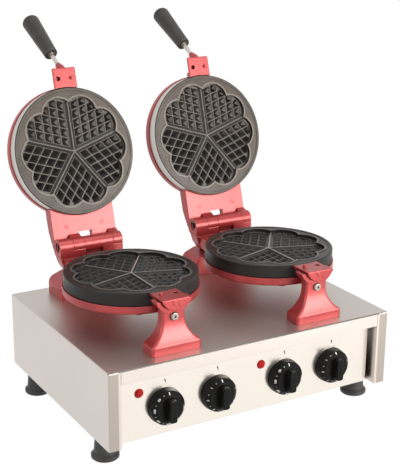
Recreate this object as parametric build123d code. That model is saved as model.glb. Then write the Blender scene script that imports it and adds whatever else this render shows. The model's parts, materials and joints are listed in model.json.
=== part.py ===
from build123d import *
import math
import os

# Double waffle maker. Millimetres, +Z up, front towards -Y, +X to the right.
# The table is z = 0. Everything is built about the middle of the housing. At the end it is moved so
# that the origin is the middle of the whole object's footprint with the lids open.

# Housing
housing_width = 550.0
housing_depth = 404.0
housing_height = 135.0
foot_height = 40.0
sheet = 1.5
bend_radius = 2.5
lip_height = 23.5
flange_width = 22.5
flange_return = 24.0
seam = 0.7
bottom_flange = 42.0

# Control panel, bottom plate and rear panel
panel_recess = 17.0
panel_side_gap = 7.5
panel_fold = 12.0
bottom_inset = 0.5
rear_screw_pitch = 120.0
rear_screw_rise = 12.0
rear_screw_low = 25.0
vent_count = 6
vent_pitch = 30.0
vent_length = 120.0
vent_width = 8.0

# The two waffle units
unit_pitch = 281.0
plate_radius = 116.0
rim_from_front = 66.0
mating_height = 92.0
closed_gap = 0.5
plate_height = 23.0
plate_edge_round = 1.6
spigot_inset = 9.0
spigot_height = 3.0
casting_lip = 2.0
casting_floor = 4.0
casting_depth = 13.5
casting_round = 3.0
cavity_clearance = 0.6
boss_radius = 7.0
boss_height = 2.5
boss_inset = 12.0
boss_count = 6
boss_first_angle = 9.5
casting_wall = 8.0

# The heart pattern of the plates
heart_count = 5
ridge_angle = -90.0
cusp_inset = 27.0
lobe_inset = 14.5
bead_width = 3.2
land_drop = 1.0
rim_width = 5.0
ridge_drop = 5.0
ridge_top_width = 2.2
lattice_drop = 7.0
lattice_start = 5.9
lattice_pitch = 16.5
rib_width = 1.5
pit_depth = 7.0
wall_margin = 1.0
smallest_pit = 0.08

# Heating elements and plate screws
heater_inset = 40.0
heater_tube_radius = 4.2
heater_gap_angle = 24.0
heater_lift = 0.6
plate_screw_inset = 20.0
plate_screw_count = 4
plate_screw_first_angle = 45.0
plate_screw_radius = 2.5
plate_screw_bite = 9.0
plate_screw_head_radius = 4.6
plate_screw_head = 3.0
post_radius = 6.5

# Hinge, its line measured out from the back rim of the lower casting
hinge_reach = 51.0
open_angle = 107.0
barrel_radius = 13.8
ear_front = 13.8
pin_radius = 9.0
pin_wall = 2.5
pin_inset = 3.0
running_gap = 0.05
left_ear = 27.5
left_lid_knuckle = 22.5
middle_ear = 56.0
middle_notch = 35.0
right_lid_knuckle = 18.5
knuckle_gap = 0.6
sweep_gap = 0.7

# Rear bracket of the lower casting and the rear pedestal
bracket_half_top = 62.0
bracket_half_foot = 42.5
bracket_back = 8.0
bracket_front = 16.0
bracket_shoulder = 19.0
bracket_foot_drop = 51.0
ledge_half = 56.0
ledge_drop = 21.0
rear_foot_half = 71.0
rear_foot_depth = 58.0
rear_foot_round = 16.0
rear_foot_shoulder = 11.0
rear_foot_edge = 5.0
lobe_radius = 5.0
lobe_length = 28.0
lobe_inset_x = 2.0
lobe_drop = 1.0
bracket_bulge = 4.0
lead_bore = 4.0
lead_channel_radius = 7.0

# Web and side arms of the upper casting, measured from the hinge along and across the lid
web_front = 10.0
web_thick = 13.0
web_half_low = 62.0
web_half_high = 55.0
web_low = 20.0
web_high = 66.0
arm_width = 15.0
arm_back = 33.0
arm_top_along = 75.0
arm_bend_along = 52.0
arm_knee_along = 30.0
arm_knee_drop = 1.0
arm_heel_along = 11.0
arm_heel_rise = 26.0
arm_toe = 1.0
saddle_front = 4.0
saddle_sink = 12.0
saddle_shoulder_along = 24.0
saddle_shoulder_rise = 22.0
saddle_back = 2.0
saddle_back_rise = 20.0
saddle_heel = 13.0
saddle_heel_rise = 4.0
arm_end_angle = 100.0
arm_end_radius = 20.5
stop_gap = 0.4
stop_angle_span = 54.0
window_half = 14.0
window_reach = 23.0
shoulder_reach = 40.0
web_mark_radius = 3.6
web_mark_spread = 36.0
web_mark_along = 34.0
web_mark_depth = 0.5
web_mark_line = 1.0

# Front lug, cradle and front pedestal. Front and back are measured out from the casting's rim.
lug_width = 50.0
lug_front = 41.0
lug_sink = 19.5
lug_drop = 0.5
lug_edge = 1.5
mark_radius = 4.0
mark_length = 10.0
mark_offset = 2.2
mark_drop = 6.5
mark_rise = 1.0
cradle_radius = 28.0
cradle_wall = 7.0
cradle_arm_drop = 4.0
seat_gap = 0.3
cradle_front = 35.0
cradle_step = 1.6
cradle_back = 15.0
dowel_offset = 13.4
dowel_along = 14.5
dowel_radius = 3.4
dowel_height = 5.0
dowel_clearance = 0.8
pedestal_width = 92.0
pedestal_front = 45.0
pedestal_back = 9.0
pedestal_band = 15.0
neck_half = 21.5
neck_drop = 35.0
pedestal_edge = 5.0
cradle_screw_drop = 32.0
cradle_screw_radius = 4.0
cradle_screw_head_radius = 7.0
cradle_screw_head = 4.4
cradle_screw_bite = 14.0
screw_slack = 0.15
casting_boss_radius = 9.0

# Front block of the lid and its handle
block_width = 46.0
block_front = 34.0
block_depth = 19.5
block_round = 2.0
lid_boss_reach = 8.0
handle_angle = 46.0
handle_across = 15.0
nipple_base = 8.5
nipple_tip = 5.2
nipple_length = 12.0
nipple_sink = 9.0
rod_radius = 4.0
rod_bite = 14.0
grip_start = 45.5
grip_length = 110.0
grip_small = 12.6
grip_large = 16.8
grip_socket = 40.0
grip_lip = 2.0
grip_end_round = 6.5
ferrule_radius = 6.2
ferrule_length = 5.0
ferrule_sink = 3.0

# Controls on the front
knob_pitch = 99.0
pair_inset = 24.5
knob_rise = 50.0
lamp_offset = 97.0
lamp_rise = 82.0
knob_radius = 31.5
knob_rim_radius = 30.0
knob_rim_depth = 11.0
knob_face_radius = 23.0
knob_face_depth = 17.0
knob_depth = 30.0
knob_gap = 1.2
knob_bar_length = 41.0
knob_bar_width = 15.0
knob_wall = 2.4
knob_edge = 1.0
knob_taper = 3.0
knob_hub_radius = 7.0
shaft_radius = 3.0
shaft_reach = 21.0
bushing_end_gap = 0.8
bushing_radius = 5.0
bushing_length = 7.0
nut_across = 14.0
nut_height = 2.6
control_width = 44.0
control_height = 38.0
thermostat_depth = 34.0
timer_depth = 42.0
shaft_socket = 14.0
lamp_radius = 8.2
lamp_dome = 5.0
lamp_sphere = 9.3
lamp_body_radius = 6.0
lamp_body_length = 28.0

# Feet, fasteners and wiring parts
foot_from_side = 21.5
foot_from_front = 60.0
foot_base_radius = 23.5
foot_neck_radius = 17.0
foot_skirt = 7.0
foot_chamfer = 2.0
foot_slope = 4.0
foot_collar = 5.0
foot_bolt_spare = 2.0
foot_well = 9.0
foot_bolt_radius = 4.0
foot_bolt_head_radius = 7.0
foot_bolt_head = 5.5
foot_nut_across = 13.0
foot_nut_height = 6.5
pedestal_bolt_radius = 3.0
pedestal_bolt_bite = 11.0
pedestal_bolt_spread = 29.0
rear_bolt_radius = 4.0
rear_bolt_spread = 24.0
rear_bolt_bite = 14.0
bolt_head = 4.0
bolt_head_ratio = 1.7
bolt_end_gap = 0.5
head_crown = 0.4
socket_ratio = 1.1
small_screw_radius = 2.0
small_screw_head_radius = 3.9
small_screw_head = 2.2
small_screw_length = 9.0
gland_radius = 10.0
gland_bore = 4.5
gland_reach = 24.0
gland_from_side = 105.0
gland_thread_spare = 2.0
gland_cap_step = 1.0
gland_rise = 40.0
gland_nut_across = 26.0
gland_nut_height = 6.0
terminal_width = 90.0
terminal_depth = 24.0
terminal_height = 18.0
terminal_ways = 6

# Places worked out from the sizes above
z_bottom = foot_height
z_deck = foot_height + housing_height
y_front = -housing_depth / 2
y_back = housing_depth / 2
x_side = housing_width / 2
z_under_deck = z_deck - sheet
mating_z = z_deck + mating_height
panel_y = y_front + panel_recess
panel_half = x_side - flange_width - panel_side_gap
casting_radius = plate_radius + casting_lip
spigot_radius = plate_radius - spigot_inset
land_radius = plate_radius - rim_width
lobe_reach = plate_radius - lobe_inset
cusp_radius = plate_radius - cusp_inset
heater_ring_radius = plate_radius - heater_inset
plate_screw_ring = plate_radius - plate_screw_inset
boss_ring_radius = casting_radius - boss_inset
rim_y = y_front + rim_from_front
plate_y = rim_y + casting_radius
hinge_y = plate_y + casting_radius + hinge_reach
neck_z = mating_z - neck_drop
cradle_screw_z = mating_z - cradle_screw_drop
gland_x = x_side - gland_from_side
pair_offset = unit_pitch / 2 - pair_inset
knuckle_edges = [-(left_ear + left_lid_knuckle + middle_ear + right_lid_knuckle) / 2]
for length in (left_ear, left_lid_knuckle, middle_ear, right_lid_knuckle):
    knuckle_edges.append(knuckle_edges[-1] + length)
casting_bottom = plate_height + casting_depth
cavity_radius = spigot_radius + cavity_clearance
units = {"left": -unit_pitch / 2, "right": unit_pitch / 2}
knob_z = z_bottom + knob_rise
lamp_z = z_bottom + lamp_rise
heart_angle = 360.0 / heart_count
half_heart = heart_angle / 2
lug_top = mating_z - lug_drop


def block(x0, x1, y0, y1, z0, z1):
    """A box between two corners."""
    return Pos((x0 + x1) / 2, (y0 + y1) / 2, (z0 + z1) / 2) * Box(x1 - x0, y1 - y0, z1 - z0)


def rod(radius, start, way, length):
    """A round rod from a point along a direction."""
    upright = Cylinder(radius, length, align=(Align.CENTER, Align.CENTER, Align.MIN))
    return Plane(origin=start, z_dir=way) * upright


def cone(radius, tip_radius, start, way, length):
    """A tapered rod from a point along a direction."""
    upright = Cone(radius, tip_radius, length, align=(Align.CENTER, Align.CENTER, Align.MIN))
    return Plane(origin=start, z_dir=way) * upright


def hex_bar(across, start, way, length):
    """A six-sided bar from a point along a direction."""
    outline = RegularPolygon(across / 2, 6, major_radius=False)
    return Plane(origin=start, z_dir=way) * extrude(outline, amount=length)


def bolt(radius, head_radius, head_height, seat, out, length):
    """A socket-headed screw. Its head sits at seat and points out, its shank goes the other way."""
    head = Cylinder(head_radius, head_height, align=(Align.CENTER, Align.CENTER, Align.MIN))
    head = fillet(head.edges().group_by(Axis.Z)[-1], head_height * head_crown)
    head -= hex_bar(radius * socket_ratio, (0, 0, head_height * head_crown), (0, 0, 1), head_height)
    shank = Cylinder(radius, length, align=(Align.CENTER, Align.CENTER, Align.MAX))
    return Plane(origin=seat, z_dir=out) * (head + shank)


def nut(across, bore, start, way, height):
    """A hexagon nut with a plain bore."""
    return hex_bar(across, start, way, height) - rod(bore, start, way, height)


def prism(outline, axis, start, end):
    """A prism along one axis. The outline gives the other two axes in order."""
    if axis == "x":
        corners = [(start, a, b) for a, b in outline]
        way = (1, 0, 0)
    elif axis == "y":
        corners = [(a, start, b) for a, b in outline]
        way = (0, 1, 0)
    else:
        corners = [(a, b, start) for a, b in outline]
        way = (0, 0, 1)
    return extrude(make_face(Polyline(*corners, close=True)), amount=end - start, dir=way)


def pair(spread):
    """Two mirrored offsets."""
    return [-spread, spread]


def ring_spots(count, radius, first):
    """Places spread evenly around a circle."""
    spots = []
    for k in range(count):
        angle = math.radians(first + 360 * k / count)
        spots.append((radius * math.cos(angle), radius * math.sin(angle)))
    return spots


# Where the fasteners go
foot_spots = []
for side in (-1, 1):
    for end in (-1, 1):
        foot_spots.append((side * (x_side - foot_from_side), end * (y_back - foot_from_front)))
front_bolt_y = rim_y - (pedestal_front + pedestal_back) / 2
rear_bolt_y = hinge_y + (bracket_back - bracket_front) / 2
knob_spots = {}
lamp_spots = {}
for name, side in (("left", -1), ("right", 1)):
    knob_spots["thermostat_" + name] = side * pair_offset - knob_pitch / 2
    knob_spots["timer_" + name] = side * pair_offset + knob_pitch / 2
    lamp_spots[name] = side * pair_offset - lamp_offset
rear_screw_spots = []
for k in range(-2, 3):
    rear_screw_spots.append((k * rear_screw_pitch, z_deck - rear_screw_rise))
for side in (-1, 1):
    rear_screw_spots.append((side * (x_side - rear_screw_rise), z_bottom + rear_screw_low))


def deck_bolt_spots():
    """The deck bolts as (x, y, radius) for one unit about x = 0."""
    spots = []
    for x in pair(pedestal_bolt_spread):
        spots.append((x, front_bolt_y, pedestal_bolt_radius))
    for x in pair(rear_bolt_spread):
        spots.append((x, rear_bolt_y, rear_bolt_radius))
    return spots


def housing():
    outer = block(-x_side, x_side, y_front, y_back, z_bottom, z_deck)
    outer = fillet([e for e in outer.edges() if e.center().Z > z_bottom + sheet], bend_radius)
    inner = block(
        -x_side + sheet, x_side - sheet, y_front + sheet, y_back - sheet, z_bottom - sheet, z_under_deck
    )
    inner_round = bend_radius - sheet
    inner = fillet([e for e in inner.edges() if e.center().Z > z_bottom], inner_round)
    shell = outer - inner
    open_half = x_side - flange_width
    open_top = z_deck - lip_height
    for y in (y_front, y_back):
        shell -= block(-open_half, open_half, y - bend_radius, y + bend_radius, z_bottom - sheet, open_top)
    for side in (-1, 1):
        inner_x = sorted([side * open_half, side * (open_half + sheet)])
        shell += block(*inner_x, y_front + sheet / 2, y_front + flange_return, z_bottom, open_top)
        floor_x = sorted([side * (x_side - sheet / 2), side * (x_side - bottom_flange)])
        shell += block(*floor_x, y_front + flange_return, y_back - 2 * sheet, z_bottom, z_bottom + sheet)
        slit = side * open_half
        slit_top = z_deck - bend_radius
        shell -= block(
            slit - seam / 2, slit + seam / 2, y_front - sheet, y_front + sheet, open_top - seam, slit_top
        )
        shell += block(*inner_x, y_front + sheet, y_front + flange_return, open_top - seam, z_under_deck)
    for x, y in foot_spots:
        shell -= rod(foot_bolt_radius + screw_slack, (x, y, z_bottom - sheet), (0, 0, 1), 3 * sheet)
    for middle in units.values():
        for x, y, radius in deck_bolt_spots():
            shell -= rod(radius + screw_slack, (middle + x, y, z_under_deck - sheet), (0, 0, 1), 3 * sheet)
        shell -= rod(lead_channel_radius, (middle, rear_bolt_y, z_under_deck - sheet), (0, 0, 1), 3 * sheet)
    for x, z in rear_screw_spots:
        shell -= rod(small_screw_radius + screw_slack, (x, y_back - 2 * sheet, z), (0, 1, 0), 3 * sheet)
    return shell


def control_panel():
    fold_half = x_side - bottom_flange - bottom_inset
    panel = block(-panel_half, panel_half, panel_y, panel_y + panel_fold, z_bottom, z_under_deck)
    front_edges = panel.edges().filter_by(Axis.X).group_by(Axis.Y)[0]
    panel = fillet(front_edges, bend_radius)
    hollow = block(
        -panel_half - sheet, panel_half + sheet, panel_y + sheet, panel_y + panel_fold + sheet,
        z_bottom + sheet, z_under_deck - sheet,
    )
    hollow_edges = hollow.edges().filter_by(Axis.X).group_by(Axis.Y)[0]
    panel -= fillet(hollow_edges, bend_radius - sheet)
    for side in (-1, 1):
        notch_x = sorted([side * fold_half, side * (panel_half + sheet)])
        notch_y = (panel_y + 2 * sheet, panel_y + 2 * panel_fold)
        panel -= block(*notch_x, *notch_y, z_bottom - sheet, z_bottom + 2 * sheet)
    for x in knob_spots.values():
        panel -= rod(bushing_radius + screw_slack, (x, panel_y - sheet, knob_z), (0, 1, 0), 3 * sheet)
    for x in lamp_spots.values():
        panel -= rod(lamp_body_radius + screw_slack, (x, panel_y - sheet, lamp_z), (0, 1, 0), 3 * sheet)
    return panel


def rear_panel():
    low = z_bottom + 2 * sheet + bottom_inset
    high = z_under_deck - bend_radius
    half = x_side - 2 * sheet - bottom_inset
    panel = block(-half, half, y_back - 2 * sheet, y_back - sheet, low, high)
    for x, z in rear_screw_spots:
        panel -= rod(small_screw_radius + screw_slack, (x, y_back - 3 * sheet, z), (0, 1, 0), 3 * sheet)
    gland_hole = (gland_x, y_back - 3 * sheet, z_bottom + gland_rise)
    panel -= rod(gland_radius + screw_slack, gland_hole, (0, 1, 0), 3 * sheet)
    return panel


def bottom_plate():
    half = x_side - sheet - bottom_inset
    floor = z_bottom + sheet
    front = y_front + flange_return + bottom_inset
    plate = block(-half, half, front, y_back - 2 * sheet - bottom_inset, floor, floor + sheet)
    for x, y in foot_spots:
        plate -= rod(foot_bolt_radius + screw_slack, (x, y, floor - sheet), (0, 0, 1), 3 * sheet)
    for k in range(-vent_count, vent_count + 1):
        slot = extrude(SlotOverall(vent_length, vent_width, rotation=90), amount=3 * sheet)
        plate -= Pos(k * vent_pitch, 0, floor - sheet) * slot
    return plate


def foot():
    """A foot about x = y = 0."""
    base, neck = foot_base_radius, foot_neck_radius
    outline = [
        (0, 0), (base - foot_chamfer, 0), (base, foot_chamfer), (base, foot_skirt),
        (neck + foot_chamfer, foot_skirt + foot_slope), (neck, foot_height - foot_collar),
        (neck, foot_height), (0, foot_height),
    ]
    body = revolve(make_face(Polyline(*[(r, 0, z) for r, z in outline], close=True)), Axis.Z)
    body -= rod(foot_bolt_radius + screw_slack, (0, 0, 0), (0, 0, 1), foot_height)
    body -= rod(foot_bolt_head_radius + cavity_clearance, (0, 0, 0), (0, 0, 1), foot_well)
    return body


def foot_bolt():
    shank = foot_height - foot_well + 2 * sheet + foot_nut_height + foot_bolt_spare
    seat = (0, 0, foot_well)
    screw = bolt(foot_bolt_radius, foot_bolt_head_radius, foot_bolt_head, seat, (0, 0, -1), shank)
    return screw + hex_bar(foot_nut_across, (0, 0, z_bottom + 2 * sheet), (0, 0, 1), foot_nut_height)


def flare(half, neck, rise, band):
    """The radius of a hollow flare from the top of the band to a neck that it meets upright."""
    out = half - neck
    up = rise - band
    return (out * out + up * up) / (2 * out)


def soften_pedestal(body, neck_top):
    """Rounds the upright corners of a pedestal and the creases where its flares leave the band."""
    soft = []
    for edge in body.edges():
        spot = edge.center()
        crease = abs(spot.Z - z_deck - pedestal_band) < sheet
        corner = abs(spot.X) > neck_half / 2 and abs(spot.Z - neck_z) > sheet
        if crease or (corner and z_deck + sheet < spot.Z < neck_top - sheet):
            soft.append(edge)
    return fillet(soft, pedestal_edge)


def front_pedestal():
    half = pedestal_width / 2
    lug_bottom = lug_top - lug_sink
    ring_z = lug_bottom - seat_gap + cradle_radius
    front = rim_y - pedestal_front
    back = rim_y - pedestal_back
    neck_front = rim_y - cradle_front + cradle_step
    neck_back = rim_y - cradle_back
    rise = neck_z - z_deck
    body = block(-half, half, front, back, z_deck, ring_z - cradle_radius)
    radius = flare(half, neck_half, rise, pedestal_band)
    for side in (-1, 1):
        x = side * (neck_half + radius)
        body -= rod(radius, (x, front - sheet, neck_z), (0, 1, 0), 2 * pedestal_width)
        above = sorted([side * neck_half, side * pedestal_width])
        body -= block(*above, front - sheet, back + sheet, neck_z, ring_z)
    radius = flare(neck_front - front, 0, rise, pedestal_band)
    body -= rod(radius, (-half - sheet, neck_front - radius, neck_z), (1, 0, 0), 2 * pedestal_width)
    body -= block(-half, half, front - sheet, neck_front, neck_z, ring_z)
    radius = flare(back - neck_back, 0, rise, pedestal_band)
    body -= rod(radius, (-half - sheet, neck_back + radius, neck_z), (1, 0, 0), 2 * pedestal_width)
    body -= block(-half, half, neck_back, back + sheet, neck_z, ring_z)
    body = soften_pedestal(body, ring_z - cradle_radius)
    ring_start = (0, rim_y - cradle_front, ring_z)
    ring = rod(cradle_radius + cradle_wall, ring_start, (0, 1, 0), cradle_front - cradle_back)
    open_top = lug_top - cradle_arm_drop
    body += ring - block(-half, half, rim_y - cradle_front, neck_back, open_top, ring_z + half)
    body -= rod(cradle_radius, (0, front, ring_z), (0, 1, 0), pedestal_width)
    body -= rod(cradle_screw_radius + screw_slack, (0, front, cradle_screw_z), (0, 1, 0), pedestal_width)
    head_room = cradle_screw_head_radius + cavity_clearance
    body -= rod(head_room, (0, front, cradle_screw_z), (0, 1, 0), neck_front - front)
    body -= rod(casting_boss_radius + screw_slack, (0, neck_back, cradle_screw_z), (0, 1, 0), pedestal_width)
    for x in pair(pedestal_bolt_spread):
        bolt_hole = (x, front_bolt_y, z_deck)
        body -= rod(pedestal_bolt_radius + screw_slack, bolt_hole, (0, 0, 1), pedestal_bolt_bite)
    return body


def rear_pedestal():
    half = rear_foot_half
    top = mating_z - bracket_foot_drop
    shoulder = top - rear_foot_shoulder
    outline = [
        (-half, z_deck), (half, z_deck), (half, shoulder), (bracket_half_foot, top),
        (-bracket_half_foot, top), (-half, shoulder),
    ]
    front = hinge_y - rear_foot_depth / 2
    back = front + rear_foot_depth
    body = prism(outline, "y", front, back)
    long_edges = [e for e in body.edges().filter_by(Axis.Y) if e.center().Z > z_deck + sheet]
    body = fillet(long_edges, rear_foot_round)
    raised = [e for e in body.edges() if e.center().Z > z_deck + sheet]
    ends = [e for e in raised if not front + sheet < e.center().Y < back - sheet]
    body = fillet(ends, rear_foot_edge)
    body -= rod(lead_channel_radius, (0, rear_bolt_y, z_deck), (0, 0, 1), bracket_foot_drop)
    for x in pair(rear_bolt_spread):
        body -= rod(rear_bolt_radius + screw_slack, (x, rear_bolt_y, z_deck), (0, 0, 1), bracket_foot_drop)
    return body


def pedestal_bolts():
    """The deck bolts of one unit, heads under the deck."""
    front = sheet + pedestal_bolt_bite - bolt_end_gap
    rear = sheet + mating_height - bracket_foot_drop + rear_bolt_bite - bolt_end_gap
    bolts = []
    for x, y, radius in deck_bolt_spots():
        reach = front if radius == pedestal_bolt_radius else rear
        seat = (x, y, z_under_deck)
        bolts.append(bolt(radius, radius * bolt_head_ratio, bolt_head, seat, (0, 0, -1), reach))
    return bolts


# One waffle unit, built closed, with the middle of the plate's rim plane at the origin
def dish():
    """The shell behind a plate, opening upwards towards the plate."""
    bottom = -casting_bottom
    body = rod(casting_radius, (0, 0, bottom), (0, 0, 1), casting_depth)
    body = fillet(body.edges().group_by(Axis.Z)[0], casting_round)
    floor = bottom + casting_floor
    body -= rod(cavity_radius, (0, 0, floor), (0, 0, 1), casting_depth)
    for x, y in ring_spots(boss_count, boss_ring_radius, boss_first_angle):
        foot_of_boss = (x, y, bottom - boss_height)
        body += cone(boss_radius, boss_radius + boss_height / 4, foot_of_boss, (0, 0, 1), boss_height)
    post_top = -plate_height - spigot_height
    for x, y in ring_spots(plate_screw_count, plate_screw_ring, plate_screw_first_angle):
        body += rod(post_radius, (x, y, floor), (0, 0, 1), post_top - floor)
        body -= rod(plate_screw_radius + screw_slack, (x, y, bottom), (0, 0, 1), post_top - bottom)
    return body


def front_lug(width, depth, front, edge, boss_reach):
    """The lug on a casting's front, flat towards the other half and round behind, and its boss."""
    half = width / 2
    radius = (depth**2 + half**2) / (2 * depth)
    end = -casting_radius - front
    lug = block(-half, half, end, 0, -depth, 0) & rod(radius, (0, end, radius - depth), (0, 1, 0), -end)
    lug = fillet([e for e in lug.edges() if e.center().Y < -sheet], edge)
    start = -casting_radius - boss_reach
    side = casting_boss_radius
    boss = rod(side, (0, start, -cradle_screw_drop), (0, 1, 0), boss_reach + side)
    boss += block(-side, side, start, side - casting_radius, -cradle_screw_drop, -lug_edge)
    return lug + (boss - block(-half, half, end, 0, -2 * casting_bottom, -casting_bottom))


def flower(extra):
    """The outline of the five hearts, grown outwards by extra."""
    lean = math.cos(math.radians(half_heart / 2))
    middle = (lobe_reach**2 - cusp_radius**2) / (2 * (lobe_reach - cusp_radius * lean))
    lobe = lobe_reach - middle
    shape = Circle(middle)
    for x, y in ring_spots(2 * heart_count, middle, half_heart / 2 + ridge_angle):
        shape += Pos(x, y) * Circle(lobe + extra)
    return shape


def ridges():
    """The walls between the hearts."""
    slope = lattice_start * math.sin(math.radians(heart_angle))
    half = ridge_top_width / 2
    section = [(-slope, -lattice_drop), (slope, -lattice_drop), (half, -ridge_drop), (-half, -ridge_drop)]
    walls = []
    for k in range(heart_count):
        walls.append(Rot(Z=ridge_angle + k * heart_angle - 90) * prism(section, "y", 0, plate_radius))
    return walls


def pit(middle_a, middle_b):
    """One four-sided pit, its sides along the two walls of a heart that opens towards +X."""
    half = (lattice_pitch - rib_width / math.sin(math.radians(heart_angle))) / 2
    along = math.radians(half_heart)

    def spot(step_a, step_b, z):
        a = middle_a + step_a * half
        b = middle_b + step_b * half
        return Vector((a + b) * math.cos(along), (a - b) * math.sin(along), z)

    low = spot(0, 0, -lattice_drop - pit_depth)
    corners = ((-1, -1), (1, -1), (1, 1), (-1, 1))
    top = [spot(across, along, -lattice_drop) for across, along in corners]
    faces = [Face(Wire.make_polygon(top))]
    for k in range(4):
        faces.append(Face(Wire.make_polygon([top[k], top[(k + 1) % 4], low])))
    return Solid(Shell(faces))


def pits():
    """The pits of all the hearts, cut off at the walls."""
    clip = Pos(0, 0, -plate_height) * extrude(flower(-wall_margin), amount=plate_height)
    clip = Rot(Z=-ridge_angle - half_heart) * clip
    steps = range(int(lobe_reach / lattice_pitch) + 1)
    heart = []
    for i in steps:
        for j in steps:
            first = lattice_start + lattice_pitch / 2
            whole = pit(first + i * lattice_pitch, first + j * lattice_pitch)
            if whole.center().length > lobe_reach + lattice_pitch:
                continue
            kept = whole & clip
            if kept is None:
                continue
            for piece in kept.solids():
                if piece.volume > whole.volume * smallest_pit:
                    heart.append(piece)
    cuts = []
    for k in range(heart_count):
        turn = Rot(Z=ridge_angle + half_heart + k * heart_angle)
        for piece in heart:
            cuts.append(turn * piece)
    return cuts


def heater(grow):
    """The tube of the heating element, a ring with a gap towards the hinge."""
    arc = 360 - heater_gap_angle
    ring = Torus(heater_ring_radius, heater_tube_radius + grow, major_angle=arc)
    z = -casting_bottom + casting_floor + heater_lift + heater_tube_radius
    return Pos(0, 0, z) * Rot(Z=90 + heater_gap_angle / 2) * ring


def plate():
    body = Cylinder(plate_radius, plate_height, align=(Align.CENTER, Align.CENTER, Align.MAX))
    body = fillet(body.edges(), plate_edge_round)
    body += rod(spigot_radius, (0, 0, -plate_height - spigot_height), (0, 0, 1), 2 * spigot_height)
    land = Circle(land_radius) - flower(bead_width)
    body -= Pos(0, 0, -land_drop) * extrude(land, amount=2 * land_drop)
    hollow = Pos(0, 0, -lattice_drop) * extrude(flower(0), amount=lattice_drop + land_drop)
    body -= [hollow - ridges()]
    body -= pits()
    body -= heater(seat_gap)
    bottom = -plate_height - spigot_height
    for x, y in ring_spots(plate_screw_count, plate_screw_ring, plate_screw_first_angle):
        body -= rod(plate_screw_radius + screw_slack, (x, y, bottom), (0, 0, 1), plate_screw_bite)
    return body


def plate_screws():
    seat = -casting_bottom
    reach = casting_bottom - plate_height - spigot_height + plate_screw_bite - bolt_end_gap
    screws = []
    for x, y in ring_spots(plate_screw_count, plate_screw_ring, plate_screw_first_angle):
        screws.append(
            bolt(
                plate_screw_radius, plate_screw_head_radius, plate_screw_head, (x, y, seat), (0, 0, -1), reach
            )
        )
    return screws


# The unit standing on the housing, about x = 0, y = 0 in the middle of the housing
def unit_down(shape):
    """Places a part of the lower half."""
    return Pos(0, plate_y, mating_z) * shape


def unit_up(shape):
    """Places a part of the lid in its closed pose."""
    return Pos(0, plate_y, mating_z + closed_gap) * Rot(Y=180) * shape


def from_hinge(s, t):
    """A spot given from the hinge: s towards the front, t upwards, lid closed."""
    return (hinge_y - s, mating_z + t)


def knuckle(first, last, radius, grow):
    """A round bar on the hinge line between two of the knuckle edges."""
    start = knuckle_edges[first] - grow
    end = knuckle_edges[last] + grow
    return rod(radius, (start, hinge_y, mating_z), (1, 0, 0), end - start)


def arm_spans():
    """Where the two side arms of the lid are across the hinge."""
    return [(-web_half_low, -web_half_low + arm_width), (web_half_low - arm_width, web_half_low)]


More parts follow.
